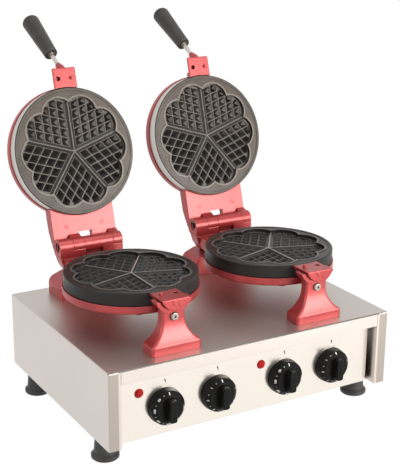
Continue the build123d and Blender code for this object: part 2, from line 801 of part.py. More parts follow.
def lower_casting():
    body = unit_down(dish())
    room_floor = (0, plate_y, mating_z - plate_height)
    plate_room = rod(plate_radius + cavity_clearance, room_floor, (0, 0, 1), plate_height * 2)
    cavity_room = rod(casting_radius - casting_wall, (0, plate_y, z_deck), (0, 0, 1), mating_height)

    # front lug and the boss that the cradle screw enters
    lug = front_lug(lug_width, lug_sink, lug_front, lug_edge, cradle_back)
    front = Pos(0, 0, -lug_drop) * unit_down(lug) - plate_room - cavity_room
    boss_y = rim_y - cradle_back
    front -= rod(cradle_screw_radius + screw_slack, (0, boss_y, cradle_screw_z), (0, 1, 0), cradle_screw_bite)
    dowel_y = rim_y - dowel_along
    pin = rod(dowel_radius, (-dowel_offset, dowel_y, lug_top - sheet), (0, 0, 1), dowel_height + sheet)
    front += fillet(pin.edges().group_by(Axis.Z)[-1], dowel_radius / 3)
    hole_z = lug_top - dowel_height - sheet
    front -= rod(dowel_radius + dowel_clearance, (dowel_offset, dowel_y, hole_z), (0, 0, 1), 2 * dowel_height)
    face_y = rim_y - lug_front
    mark_z = lug_top - mark_drop
    mark = rod(mark_radius, (-mark_offset, face_y - mark_rise, mark_z), (0, 1, 0), 2 * mark_rise)
    tail = cone(mark_radius, mark_radius / 2, (-mark_offset, face_y, mark_z), (0, 0, -1), mark_length)
    mark += tail & block(-lug_width, lug_width, face_y - mark_rise, face_y + mark_rise, z_deck, mating_z)
    small_z = lug_top - mark_length - sheet
    mark += rod(mark_radius * 0.75, (mark_offset * 4, face_y - mark_rise, small_z), (0, 1, 0), 2 * mark_rise)
    body += front + mark

    # rear bracket with its ears, stop pads and the ledge that carries it from the dish
    foot_z = mating_z - bracket_foot_drop
    waist_z = mating_z - bracket_shoulder
    front_y = hinge_y - bracket_front
    bulge = (bracket_half_top + bracket_half_foot) / 2 + bracket_bulge
    lines = [
        Line((-bracket_half_top, front_y, mating_z), (bracket_half_top, front_y, mating_z)),
        Line((-bracket_half_foot, front_y, foot_z), (bracket_half_foot, front_y, foot_z)),
    ]
    for side in (-1, 1):
        top = (side * bracket_half_top, front_y, mating_z)
        waist = (side * bracket_half_top, front_y, waist_z)
        low = (side * bracket_half_foot, front_y, foot_z)
        lines.append(Line(top, waist))
        lines.append(ThreePointArc(waist, (side * bulge, front_y, (waist_z + foot_z) / 2), low))
    rear = extrude(make_face(lines), amount=bracket_front + bracket_back, dir=(0, 1, 0))
    past = mating_z + sheet
    rear -= block(-plate_radius, plate_radius, front_y - sheet, hinge_y - ear_front, waist_z, past)
    ledge_z = mating_z - ledge_drop
    rear += block(-ledge_half, ledge_half, plate_y, front_y + sheet, mating_z - casting_bottom, ledge_z)
    for x0, x1 in arm_spans():
        rear += stop_pad(x0, x1)
    rear -= knuckle(1, 2, barrel_radius + sweep_gap, knuckle_gap / 2)
    rear -= knuckle(3, 4, barrel_radius + sweep_gap, knuckle_gap / 2)
    notch = knuckle_edges[2]
    rear -= block(notch, notch + middle_notch, front_y - sheet, hinge_y - web_thick / 2, waist_z, past)
    lobe = (notch + lobe_inset_x, front_y + lobe_radius, waist_z - lobe_drop)
    rear += rod(lobe_radius, lobe, (1, 0, 0), lobe_length)
    rear += knuckle(0, 1, barrel_radius, -knuckle_gap / 2)
    rear += knuckle(2, 3, barrel_radius, -knuckle_gap / 2)
    rear -= knuckle(0, 4, pin_radius + running_gap, sheet)
    rear = rear - plate_room - cavity_room
    body += rear
    lead_z = mating_z - casting_bottom + casting_floor + lead_bore
    lead_y = plate_y + plate_screw_ring
    body -= rod(lead_bore, (0, lead_y, lead_z), (0, 1, 0), rear_bolt_y - lead_y)
    body -= rod(lead_bore, (0, rear_bolt_y, foot_z), (0, 0, 1), lead_z - foot_z)
    for x in pair(rear_bolt_spread):
        body -= rod(rear_bolt_radius + screw_slack, (x, rear_bolt_y, foot_z), (0, 0, 1), rear_bolt_bite)
    return body


def wedge(first, last, x0, x1, radius):
    """A slice of a bar on the hinge line between two angles, measured from the front upwards."""
    corners = [(hinge_y, mating_z)]
    for k in range(4):
        angle = math.radians(first + (last - first) * k / 3)
        corners.append((hinge_y - 2 * radius * math.cos(angle), mating_z + 2 * radius * math.sin(angle)))
    return prism(corners, "x", x0, x1) & rod(radius, (x0, hinge_y, mating_z), (1, 0, 0), x1 - x0)


def stop_pad(x0, x1):
    """The pad that the end of a side arm leans on when the lid is open."""
    first = arm_end_angle + open_angle + math.degrees(stop_gap / barrel_radius)
    return wedge(first, first + stop_angle_span, x0, x1, arm_end_radius)


def lid_web():
    """The web behind a lid's plate, its side arms and its hinge knuckles, lid closed."""
    top = mating_z + closed_gap + casting_bottom
    low = mating_z + web_front
    outline = [
        (-web_half_low, hinge_y), (web_half_low, hinge_y), (web_half_low, hinge_y - web_low),
        (web_half_high, hinge_y - web_high), (web_half_high, plate_y), (-web_half_high, plate_y),
        (-web_half_high, hinge_y - web_high), (-web_half_low, hinge_y - web_low),
    ]
    web = prism(outline, "z", low, low + web_thick)
    past = hinge_y + sheet
    web -= block(-window_half, window_half, hinge_y - window_reach, past, mating_z, top)
    shoulder = prism(outline, "z", low + web_thick / 2, mating_z + arm_back)
    web += shoulder - block(-plate_radius, plate_radius, hinge_y - shoulder_reach, past, mating_z, top)
    tip = math.radians(arm_end_angle)
    arm = [
        from_hinge(arm_top_along, web_front), from_hinge(arm_top_along, arm_back),
        from_hinge(arm_bend_along, arm_back), from_hinge(arm_knee_along, arm_back - arm_knee_drop),
        from_hinge(arm_heel_along, arm_heel_rise), from_hinge(-arm_toe, arm_end_radius),
        from_hinge(arm_end_radius * math.cos(tip), arm_end_radius * math.sin(tip)),
        from_hinge(0, 0), from_hinge(barrel_radius, web_front),
    ]
    for x0, x1 in arm_spans():
        web += prism(arm, "x", x0, x1)
    web -= knuckle(0, 4, barrel_radius + sweep_gap, sheet)
    saddle = [
        from_hinge(saddle_front, -saddle_sink), from_hinge(web_low, web_front),
        from_hinge(saddle_shoulder_along, saddle_shoulder_rise), from_hinge(-saddle_back, saddle_back_rise),
        from_hinge(-saddle_heel, saddle_heel_rise),
    ]
    clear = arm_end_angle + stop_angle_span + 2 * knuckle_gap
    for first in (1, 3):
        start = knuckle_edges[first] + knuckle_gap / 2
        end = knuckle_edges[first + 1] - knuckle_gap / 2
        bridge = prism(saddle, "x", start, end) - wedge(arm_end_angle, clear, start, end, 2 * arm_end_radius)
        web += bridge + knuckle(first, first + 1, barrel_radius, -knuckle_gap / 2)
    web -= knuckle(0, 4, pin_radius + running_gap, sheet)
    for x in pair(web_mark_spread):
        spot = (x, hinge_y - web_mark_along, low)
        ring = rod(web_mark_radius, spot, (0, 0, 1), web_mark_depth)
        web -= ring - rod(web_mark_radius - web_mark_line, spot, (0, 0, 1), web_mark_depth)
    return web


def handle_line():
    """Where a handle's rod leaves the lid's front block, and its direction, lid closed."""
    angle = math.radians(handle_angle)
    root = Vector(0, rim_y - block_front, mating_z + handle_across)
    return root, Vector(0, -math.cos(angle), math.sin(angle))


def upper_casting():
    plate_low = mating_z + closed_gap
    room_height = 2 * plate_height + closed_gap
    room_floor = (0, plate_y, mating_z - plate_height)
    plate_room = rod(plate_radius + cavity_clearance, room_floor, (0, 0, 1), room_height)
    cavity_room = rod(casting_radius - casting_wall, (0, plate_y, mating_z), (0, 0, 1), mating_height)
    body = unit_up(dish()) + (lid_web() - plate_room - cavity_room)

    # front block with the handle's socket, a dowel and the hole for the other half's dowel
    front = unit_up(front_lug(block_width, block_depth, block_front, block_round, lid_boss_reach))
    root, way = handle_line()
    front += rod(nipple_base, root - way * nipple_sink, way, nipple_sink)
    front += cone(nipple_base, nipple_tip, root, way, nipple_length)
    front = front - plate_room - cavity_room
    front -= rod(rod_radius + screw_slack, root - way * rod_bite, way, rod_bite + 2 * nipple_length)
    dowel_y = rim_y - dowel_along
    hole = (-dowel_offset, dowel_y, plate_low)
    front -= rod(dowel_radius + dowel_clearance, hole, (0, 0, 1), dowel_height + sheet)
    pin = rod(dowel_radius, (dowel_offset, dowel_y, plate_low + sheet), (0, 0, -1), dowel_height + sheet)
    front += fillet(pin.edges().group_by(Axis.Z)[0], dowel_radius / 3)
    return body + front


def handle():
    """The rod, ferrule and grip of a handle, lid closed."""
    root, way = handle_line()
    metal = rod(rod_radius, root - way * rod_bite, way, rod_bite + grip_start + grip_socket)
    ferrule_start = grip_start - ferrule_length + ferrule_sink
    ferrule = rod(ferrule_radius, (0, 0, ferrule_start), (0, 0, 1), ferrule_length)
    ferrule -= rod(rod_radius + screw_slack, (0, 0, 0), (0, 0, 1), grip_start + grip_socket)
    end = grip_start + grip_length
    outline = [
        (0, grip_start), (grip_small - grip_lip, grip_start), (grip_small, grip_start + grip_lip),
        (grip_large, end), (0, end),
    ]
    grip = revolve(make_face(Polyline(*[(r, 0, z) for r, z in outline], close=True)), Axis.Z)
    grip = fillet(grip.edges().group_by(Axis.Z)[-1], grip_end_round)
    grip -= rod(ferrule_radius + screw_slack, (0, 0, grip_start), (0, 0, 1), ferrule_sink)
    grip -= rod(rod_radius + screw_slack, (0, 0, grip_start), (0, 0, 1), grip_socket + sheet)
    place = Plane(origin=root, z_dir=way)
    return metal, place * ferrule, place * grip


def hinge_pin():
    start = knuckle_edges[0] + pin_inset
    length = knuckle_edges[-1] - pin_inset - start
    pin = rod(pin_radius, (start, hinge_y, mating_z), (1, 0, 0), length)
    pin = fillet(pin.edges().filter_by(GeomType.CIRCLE), pin_wall / 4)
    bore_start = (start - sheet, hinge_y, mating_z)
    return pin - rod(pin_radius - pin_wall, bore_start, (1, 0, 0), length + 2 * sheet)


# Controls, at the panel
def knob():
    """A dial knob with its back at the origin, facing +Z, its bar along Y."""
    points = [
        (0, 0),
        (knob_radius, 0),
        (knob_rim_radius, knob_rim_depth),
        (knob_face_radius, knob_face_depth),
        (0, knob_face_depth),
    ]
    body = revolve(make_face(Polyline(*[(r, 0, z) for r, z in points], close=True)), Axis.Z)
    body = fillet(body.edges().filter_by(GeomType.CIRCLE).group_by(Axis.Z)[1:], knob_edge)
    outline = RectangleRounded(knob_bar_width, knob_bar_length, knob_bar_width / 3)
    bar = extrude(outline, amount=knob_depth - knob_rim_depth, taper=knob_taper)
    bar = fillet(bar.edges().group_by(Axis.Z)[-1], knob_bar_width / 10)
    body += Pos(0, 0, knob_rim_depth) * bar
    body -= rod(knob_rim_radius - knob_wall, (0, 0, 0), (0, 0, 1), knob_rim_depth - knob_wall)
    hub_start = bushing_length - sheet - knob_gap + bushing_end_gap
    body += rod(knob_hub_radius, (0, 0, hub_start), (0, 0, 1), knob_rim_depth - hub_start)
    return body - rod(shaft_radius + running_gap, (0, 0, 0), (0, 0, 1), shaft_reach - knob_gap + running_gap)


def on_panel(shape, x, z, stand_off):
    """Stands a part on the control panel, its +Z pointing out to the front."""
    return Plane(origin=(x, panel_y - stand_off, z), x_dir=(1, 0, 0), z_dir=(0, -1, 0)) * shape


def control(depth):
    """A thermostat or timer body behind the panel, the panel's front face at z = 0."""
    half_x, half_y = control_width / 2, control_height / 2
    body = block(-half_x, half_x, -half_y, half_y, -sheet - depth, -sheet)
    body = fillet(body.edges().filter_by(Axis.Z), bend_radius)
    body += rod(bushing_radius, (0, 0, -sheet), (0, 0, 1), bushing_length)
    socket_floor = (0, 0, -sheet - shaft_socket)
    return body - rod(shaft_radius + running_gap, socket_floor, (0, 0, 1), shaft_socket + bushing_length)


def shaft():
    """The shaft that a knob sits on."""
    back = -sheet - shaft_socket + bolt_end_gap
    return rod(shaft_radius, (0, 0, back), (0, 0, 1), shaft_reach - back)


def lamp_lens():
    body = Sphere(lamp_sphere)
    body = Pos(0, 0, lamp_dome - lamp_sphere) * body
    return body & rod(lamp_radius, (0, 0, 0), (0, 0, 1), lamp_dome)


def lamp_body():
    return rod(lamp_body_radius, (0, 0, 0), (0, 0, -1), lamp_body_length)


def terminal_block():
    x1 = gland_x + terminal_width / 4
    y1 = y_back - flange_return - terminal_depth
    floor = z_bottom + 2 * sheet
    body = block(x1 - terminal_width, x1, y1 - terminal_depth, y1, floor, floor + terminal_height)
    for k in range(terminal_ways):
        x = x1 - terminal_width * (k + 0.5) / terminal_ways
        hole = (x, y1 - terminal_depth / 2, floor + terminal_height / 3)
        body -= rod(small_screw_radius, hole, (0, 0, 1), terminal_height)
    return body


def cable_gland():
    z = z_bottom + gland_rise
    outer = y_back - sheet
    start = outer - sheet - gland_nut_height - gland_thread_spare
    body = rod(gland_radius, (gland_x, start, z), (0, 1, 0), outer - start)
    body += hex_bar(gland_nut_across, (gland_x, outer, z), (0, 1, 0), gland_nut_height)
    cap = rod(gland_radius + gland_cap_step, (gland_x, outer, z), (0, 1, 0), gland_reach)
    body += fillet(cap.edges().group_by(Axis.Y)[-1], gland_radius / 3)
    bore_start = (gland_x, start - sheet, z)
    return body - rod(gland_bore, bore_start, (0, 1, 0), outer - start + gland_reach + 2 * sheet)


def gland_nut():
    start = (gland_x, y_back - 2 * sheet - gland_nut_height, z_bottom + gland_rise)
    return nut(gland_nut_across, gland_radius + screw_slack, start, (0, 1, 0), gland_nut_height)


parts = {}


def keep(name, shapes, offset=0.0):
    """Keeps one part, made of one or more shapes, moved sideways by offset."""
    if isinstance(shapes, list):
        shapes = Compound(children=shapes)
    parts[name] = Pos(offset, 0, 0) * shapes


keep("housing", housing())
keep("control_panel", control_panel())
keep("rear_panel", rear_panel())
keep("bottom_plate", bottom_plate())
for (x, y), name in zip(foot_spots, ("front_left", "rear_left", "front_right", "rear_right")):
    keep("foot_" + name, Pos(x, y, 0) * foot())
keep("foot_bolts", [Pos(x, y, 0) * foot_bolt() for x, y in foot_spots])
screws = []
for x, z in rear_screw_spots:
    seat = (x, y_back, z)
    screws.append(
        bolt(
            small_screw_radius, small_screw_head_radius, small_screw_head, seat, (0, 1, 0), small_screw_length
        )
    )
keep("panel_screws", screws)

hinge_line = Axis((0, hinge_y, mating_z), (1, 0, 0))


def opened(shape):
    """Turns a part of the closed lid back to where the lid rests."""
    return shape.rotate(hinge_line, -open_angle)


waffle_plate = plate()
lower_parts = {
    "front_pedestal": front_pedestal(),
    "rear_pedestal": rear_pedestal(),
    "lower_casting": lower_casting(),
    "lower_plate": unit_down(waffle_plate),
    "lower_heater": unit_down(heater(0)),
}
metal, ferrule, grip = handle()
lid_parts = {
    "upper_casting": upper_casting(),
    "upper_plate": unit_up(waffle_plate),
    "upper_heater": unit_up(heater(0)),
    "hinge_pin": hinge_pin(),
    "handle_rod": metal,
    "handle_ferrule": ferrule,
    "handle_grip": grip,
}
lid_parts = {name: opened(shape) for name, shape in lid_parts.items()}
deck_bolts = []
low_screws = []
cradle_screws = []
for name, middle in units.items():
    for part, shape in {**lower_parts, **lid_parts}.items():
        keep(part + "_" + name, shape, middle)
    keep("upper_plate_screws_" + name, [opened(unit_up(s)) for s in plate_screws()], middle)
    deck_bolts += [Pos(middle, 0, 0) * s for s in pedestal_bolts()]
    low_screws += [Pos(middle, 0, 0) * unit_down(s) for s in plate_screws()]
    seat = (middle, rim_y - cradle_front + cradle_step, cradle_screw_z)
    reach = cradle_front - cradle_step - cradle_back + cradle_screw_bite - bolt_end_gap
    cradle_screws.append(
        bolt(cradle_screw_radius, cradle_screw_head_radius, cradle_screw_head, seat, (0, -1, 0), reach)
    )
keep("pedestal_bolts", deck_bolts)
keep("lower_plate_screws", low_screws)
keep("cradle_screws", cradle_screws)

nuts = []
depths = {"thermostat": thermostat_depth, "timer": timer_depth}
for name, x in knob_spots.items():
    kind, side = name.split("_")
    keep(name, on_panel(control(depths[kind]), x, knob_z, 0))
    keep(kind + "_shaft_" + side, on_panel(shaft(), x, knob_z, 0))
    keep(kind + "_knob_" + side, on_panel(knob(), x, knob_z, knob_gap))
    control_nut = nut(nut_across, bushing_radius + screw_slack, (0, 0, 0), (0, 0, 1), nut_height)
    nuts.append(on_panel(control_nut, x, knob_z, 0))
keep("control_nuts", nuts)
for name, x in lamp_spots.items():
    keep("lamp_lens_" + name, on_panel(lamp_lens(), x, lamp_z, 0))
    keep("lamp_body_" + name, on_panel(lamp_body(), x, lamp_z, 0))
keep("terminal_block", terminal_block())
keep("cable_gland", cable_gland())
keep("gland_nut", gland_nut())

# Everything moves back so that the origin is in the middle of the footprint
boxes = [shape.bounding_box() for shape in parts.values()]
low_y = min(box.min.Y for box in boxes)
high_y = max(box.max.Y for box in boxes)
print("moved along Y by", round(-(low_y + high_y) / 2, 3))
os.makedirs("parts", exist_ok=True)
for name, shape in parts.items():
    export_step(Pos(0, -(low_y + high_y) / 2, 0) * shape, "parts/" + name + ".step")
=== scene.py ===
import json
import math

import bpy
from mathutils import Matrix, Vector


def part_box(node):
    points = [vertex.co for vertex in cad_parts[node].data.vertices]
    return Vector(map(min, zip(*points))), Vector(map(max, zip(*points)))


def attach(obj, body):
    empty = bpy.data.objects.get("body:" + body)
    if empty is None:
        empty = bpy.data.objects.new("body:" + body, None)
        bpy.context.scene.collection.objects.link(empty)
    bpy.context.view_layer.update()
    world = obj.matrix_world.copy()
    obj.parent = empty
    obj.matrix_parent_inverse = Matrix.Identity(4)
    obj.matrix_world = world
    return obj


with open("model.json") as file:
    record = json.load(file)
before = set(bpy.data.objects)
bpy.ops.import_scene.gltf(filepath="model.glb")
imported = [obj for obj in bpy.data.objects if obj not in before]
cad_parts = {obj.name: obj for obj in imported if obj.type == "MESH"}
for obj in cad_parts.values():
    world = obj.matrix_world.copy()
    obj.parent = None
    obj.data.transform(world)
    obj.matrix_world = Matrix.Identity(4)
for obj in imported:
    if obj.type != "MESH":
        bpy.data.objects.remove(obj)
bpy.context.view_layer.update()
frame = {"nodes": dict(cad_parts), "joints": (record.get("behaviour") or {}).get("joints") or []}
nodes = frame["nodes"]
joints = {joint["name"]: joint for joint in frame["joints"]}
sides = ("left", "right")

housing_low, housing_high = (Vector(corner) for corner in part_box("housing"))
middle_y = (housing_low.y + housing_high.y) / 2
panel_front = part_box("control_panel")[0][1]


# Shader arithmetic
class Amount:
    """A value that changes over a surface and can be worked with like a number."""

    def __init__(self, owner, socket):
        self.owner = owner
        self.socket = socket

    def work(self, operation, *operands):
        settings = {"operation": operation}
        return self.owner.add("ShaderNodeMath", settings, dict(enumerate(operands)))

    def __add__(self, other):
        return self.work("ADD", self, other)

    def __radd__(self, other):
        return self.work("ADD", other, self)

    def __sub__(self, other):
        return self.work("SUBTRACT", self, other)

    def __rsub__(self, other):
        return self.work("SUBTRACT", other, self)

    def __mul__(self, other):
        return self.work("MULTIPLY", self, other)

    def __rmul__(self, other):
        return self.work("MULTIPLY", other, self)

    def __pow__(self, other):
        return self.work("POWER", self, other)

    def clamped(self):
        return self.work("MAXIMUM", self.work("MINIMUM", self, 1.0), 0.0)

    def between(self, low, high):
        """Nought at low, one at high, smooth between them."""
        settings = {"interpolation_type": "SMOOTHSTEP"}
        values = {"Value": self, "From Min": low, "From Max": high}
        return self.owner.add("ShaderNodeMapRange", settings, values)


class ShaderTree:
    """A tree of shader nodes. Every node comes from add."""

    def __init__(self, tree):
        self.tree = tree

    def add(self, kind, settings=None, values=None, output=0):
        node = self.tree.nodes.new(kind)
        for name, value in (settings or {}).items():
            setattr(node, name, value)
        for socket, value in (values or {}).items():
            self.feed(node.inputs[socket], value)
        return Amount(self, node.outputs[output])

    def feed(self, socket, value):
        if isinstance(value, Amount):
            self.tree.links.new(value.socket, socket)
        elif socket.type == "RGBA" and len(value) == 3:
            socket.default_value = (*value, 1.0)
        else:
            socket.default_value = value

    def seen_directly(self):
        """One for rays from the camera, and for those reflected or sent through glass."""
        seen = self.add("ShaderNodeLightPath", output="Is Camera Ray")
        for ray in ("Is Glossy Ray", "Is Transmission Ray"):
            seen = seen.work("MAXIMUM", seen, self.add("ShaderNodeLightPath", output=ray))
        return seen


class Finish(ShaderTree):
    """One material, put together from nodes."""

    def __init__(self, name, **constants):
        self.material = bpy.data.materials.new(name)
        self.material.use_nodes = True
        super().__init__(self.material.node_tree)
        self.shader = self.tree.nodes["Principled BSDF"]
        self.paint(**constants)

    def paint(self, **values):
        """Sets the shader's sockets, named with underscores for spaces."""
        for name, value in values.items():
            self.feed(self.shader.inputs[name.replace("_", " ")], value)

    def place(self):
        return self.add("ShaderNodeTexCoord", output="Object")

    def stretched(self, factors):
        settings = {"operation": "MULTIPLY"}
        return self.add("ShaderNodeVectorMath", settings, {0: self.place(), 1: factors})

    def noise(self, where, scale, detail=3.0, roughness=0.5):
        values = {"Vector": where, "Scale": scale, "Detail": detail, "Roughness": roughness}
        return self.add("ShaderNodeTexNoise", None, values)

    def dot(self, first, second):
        settings = {"operation": "DOT_PRODUCT"}
        return self.add("ShaderNodeVectorMath", settings, {0: first, 1: second}, output="Value")

    def level(self, way):
        """How far a surface faces along a direction, one where it faces it squarely."""
        return self.dot(self.add("ShaderNodeTexCoord", output="Normal"), way)

    def rounded(self, radius, samples=4):
        """The normal as it would be with every edge rounded."""
        return self.add("ShaderNodeBevel", {"samples": samples}, {"Radius": radius})

    def crevices(self, reach):
        """One deep in gaps and corners, nought on open ground."""
        values = {"Distance": reach}
        return 1.0 - self.add("ShaderNodeAmbientOcclusion", {"samples": 8}, values, output="AO")

    def edges(self, radius):
        """One along edges, nought on flat ground."""
        flat = self.add("ShaderNodeNewGeometry", output="Normal")
        return (1.0 - self.dot(self.rounded(radius, 6), flat)).between(0.02, 0.16)

    def mix(self, amount, first, second):
        settings = {"data_type": "RGBA"}
        return self.add("ShaderNodeMix", settings, {0: amount, 6: first, 7: second}, output=2)

    def bumped(self, height, strength, distance, edge=0.0):
        """Feeds the normal with fine relief, over edges that are rounded by edge."""
        values = {"Height": height, "Strength": strength, "Distance": distance}
        if edge:
            values["Normal"] = self.rounded(edge)
        self.paint(Normal=self.add("ShaderNodeBump", None, values))


def shade(tone, factor):
    return tuple(factor * channel for channel in tone)


# Sheet steel. The grain runs from left to right, so the noise is stretched along X.
streak_stretch = (2.5, 700, 700)
fine_stretch = (9, 2600, 2600)
smear_stretch = (9, 5, 14)

# The front flanges at the two sides are painted darker than the rest of the housing: painted
# shade
flange_width = 0.018
flange_blend = 0.0001
flange_shade_tone = (0.45, 0.40, 0.35)


def brushed_steel(name, tone, rough, rough_top, edge, flange_start=None):
    """Sheet steel, with painted shade on top and a painted highlight on faces toward the front.
    flange_start is how far from the middle the flanges begin.
    """
    finish = Finish(name, Metallic=1.0)
    streaks = finish.noise(finish.stretched(streak_stretch), 1.0, 3.0, 0.6)
    fine = finish.noise(finish.stretched(fine_stretch), 1.0, 2.0, 0.6)
    cloud = finish.noise(finish.place(), 5.0, 3.0, 0.5)
    smear = finish.noise(finish.stretched(smear_stretch), 1.0, 5.0, 0.6).between(0.58, 0.85)

    upward = finish.level((0, 0, 1))
    ahead = finish.level((0, -1, 0))
    top = upward.between(0.6, 0.95)
    # The rounded fold where the deck turns down at the front, painted dark: painted shade that
    # hides its highlight
    fold = upward.between(0.06, 0.14) * ahead.between(0.1, 0.4)

    grain = (streaks * 0.35 + fine * 0.15 + cloud * 0.5).between(0.3, 0.7)
    base = finish.mix(grain, shade(tone, 0.94), shade(tone, 1.04))
    # Painted shade: faces that look up are darker
    base = finish.mix(top, base, shade(tone, 0.82))
    # Painted highlight: faces toward the front are lighter
    base = finish.mix(ahead.between(0.9, 0.99), base, shade(tone, 1.12))
    base = finish.mix(fold, base, shade(tone, 0.2))
    # Painted shade on the front faces of the side flanges
    if flange_start:
        across = finish.dot(finish.place(), (1, 0, 0))
        start = flange_start ** 2
        outer = (across * across).between(start - flange_blend, start)
        base = finish.mix(outer * ahead.between(0.5, 0.9), base, flange_shade_tone)
    finish.paint(Base_Color=base)

    unevenness = streaks * 0.05 + cloud * 0.05 + smear * 0.05
    finish.paint(Roughness=unevenness + top * rough_top + fold * 0.2 + (rough - 0.05))
    finish.bumped(fine, 0.06, 0.00002, edge)
    return finish.material


# Red castings
red_deep = (0.32, 0.030, 0.031)
red_bright = (0.39, 0.040, 0.040)
red_flake = (0.70, 0.14, 0.13)
red_rubbed_and_highlight = (0.80, 0.26, 0.23)
red_dusty = (0.62, 0.33, 0.30)
red_gap_shade = (0.05, 0.004, 0.005)
gap_reach = 0.012
rubbed_and_highlight_radius = 0.0009


def red_coat():
    """Satin red over cast aluminium: a fine metallic glitter, paler on edges from rubbing and a
    painted highlight, with painted shade in gaps.
    """
    finish = Finish("red_coat", Specular_IOR_Level=0.62, Coat_Roughness=0.2, Coat_IOR=1.4)
    flakes = finish.noise(finish.place(), 2600.0, 1.0, 0.5)
    peel = finish.noise(finish.place(), 420.0, 2.0, 0.5)
    cloud = finish.noise(finish.place(), 16.0, 4.0, 0.6)
    dust = finish.noise(finish.place(), 60.0, 5.0, 0.65).between(0.62, 0.88)
    gaps = finish.crevices(gap_reach).between(0.3, 0.95)

    base = finish.mix(cloud.between(0.3, 0.7), red_deep, red_bright)
    base = finish.mix(flakes.between(0.5, 0.8) * 0.3, base, red_flake)
    # Paler edges: partly rubbed paint, partly a painted highlight
    base = finish.mix(finish.edges(rubbed_and_highlight_radius) * 0.3, base, red_rubbed_and_highlight)
    base = finish.mix(dust * 0.12, base, red_dusty)
    # Painted shade: gaps and corners are darkened toward a deep red
    finish.paint(Base_Color=finish.mix(gaps * 0.85, base, red_gap_shade))
    finish.paint(Metallic=0.42 - dust * 0.2, Coat_Weight=0.14 - dust * 0.1)
    finish.paint(Roughness=cloud * 0.08 + dust * 0.12 + 0.33)
    finish.bumped(peel * 0.7 + flakes * 0.3, 0.12, 0.0002, 0.0014)
    return finish.material


# Waffle plates. The tones are mixed by depth below the rim and by distance from the edge, both
# in metres. Each pair is where a mask begins and where it is full.
bead_floor = (0.0003, 0.0007)
land_floor = (0.0015, 0.003)
rib_band = (0.0035, 0.0045), (0.0075, 0.0085)
crown_band = (0.0044, 0.0048), (0.0053, 0.0058)
pit_depth = (0.007, 0.0115)
wear_and_highlight_floor = (0.0078, 0.0095)
bead_inset = (0.009, 0.008)
side_inset = (0.003, 0.001)
groove_inset = 0.0056
groove_spread = (0.05e-6, 1.4e-6)  # squares of the distance from the groove's middle
upper_half = (-0.012, 0.012)
wear_and_highlight_radius = 0.0006
glint_way = (-0.68, -0.72, -0.1)

# Edges, the bead around the flower and the ridge tops show the tone edge: wear and painted
# highlights
lower_tones = {
    "land": (0.022, 0.017, 0.014), "rib": (0.035, 0.030, 0.026), "flank": (0.009, 0.008, 0.007),
    "pit": (0.004, 0.0035, 0.003), "edge": (0.50, 0.47, 0.44), "side": (0.012, 0.010, 0.009),
    "wear_and_highlight": 0.8, "bare": 0.0, "glint": 0.0, "bead": 0.2, "crown": 0.7,
}
lid_tones = {
    "land": (0.060, 0.045, 0.034), "rib": (0.085, 0.071, 0.060), "flank": (0.020, 0.016, 0.013),
    "pit": (0.009, 0.007, 0.006), "edge": (0.40, 0.36, 0.32), "side": (0.56, 0.54, 0.51),
    "wear_and_highlight": 0.75, "bare": 0.9, "glint": 0.45, "bead": 0.7, "crown": 0.1,
}


def plate_coat(name, middle, facing, tones, reach):
    """Dark non-stick coating, paler on the high places from wear and painted highlights, and
    black down in the pits from painted shade.

    middle is the centre of the rim's plane, facing the way that the pattern faces and reach the
    plate's radius.
    """
    finish = Finish(name, Specular_IOR_Level=0.28)
    settings = {"operation": "SUBTRACT"}
    from_middle = finish.add("ShaderNodeVectorMath", settings, {0: finish.place(), 1: middle})
    height = finish.dot(from_middle, facing)
    below = 0.0 - height
    out = (finish.dot(from_middle, from_middle) - height * height) ** 0.5

    def past(inset):
        """Nought further in than the first distance from the edge, one beyond the second."""
        return out.between(reach - inset[0], reach - inset[1])

    def band(start, end):
        return below.between(*start) * (1.0 - below.between(*end))

    facing_level = finish.level(facing)
    top = facing_level.between(0.94, 0.99)
    side = past(side_inset) * (1.0 - facing_level.between(0.2, 0.6))
    bead = top * (1.0 - below.between(*bead_floor)) * (1.0 - past(bead_inset))
    land = top * (1.0 - below.between(*land_floor))
    rib = top * band(*rib_band)
    crown = top * band(*crown_band)
    pit = below.between(*pit_depth)
    from_groove = out - (reach - groove_inset)
    groove = top * (1.0 - (from_groove * from_groove).between(*groove_spread))
    wear_and_highlight_edges = finish.edges(wear_and_highlight_radius) * (1.0 - below.between(*wear_and_highlight_floor)) * (1.0 - side)
    upper = finish.dot(from_middle, (0, 0, 1)).between(*upper_half)
    # Painted highlight: pale glints on pit facets that face one way, in the upper half of the
    # plate
    glint = finish.level(glint_way).between(0.80, 0.93) * pit * upper

    grime = finish.noise(finish.place(), 34.0, 5.0, 0.62)
    speckle = finish.noise(finish.place(), 900.0, 2.0, 0.6)
    drips = finish.noise(finish.place(), 9.0, 4.0, 0.6).between(0.35, 0.75)

    # Painted shade: the deeper parts of the pits darken to the tone pit
    base = finish.mix(pit, tones["flank"], tones["pit"])
    base = finish.mix(glint * tones["glint"], base, tones["edge"])
    base = finish.mix(rib, base, tones["rib"])
    base = finish.mix(land, base, tones["land"])
    base = finish.mix(land * drips * 0.3, base, shade(tones["land"], 1.5))
    base = finish.mix(grime.between(0.45, 0.85) * 0.45, base, tones["pit"])
    base = finish.mix(groove * 0.9, base, tones["pit"])
    # Pale lines along edges, on the bead and on the ridge tops: partly wear, partly painted
    # highlights
    lines = wear_and_highlight_edges * 0.7 + bead * tones["bead"] + crown * tones["crown"]
    base = finish.mix(lines.clamped() * tones["wear_and_highlight"], base, tones["edge"])
    finish.paint(Base_Color=finish.mix(side, base, tones["side"]))
    finish.paint(Metallic=side * tones["bare"] + wear_and_highlight_edges * 0.3)
    finish.paint(Roughness=0.30 + grime * 0.18 + pit * 0.1)
    finish.bumped(grime * 0.5 + speckle * 0.5, 0.22, 0.0002, 0.0007)
    return finish.material


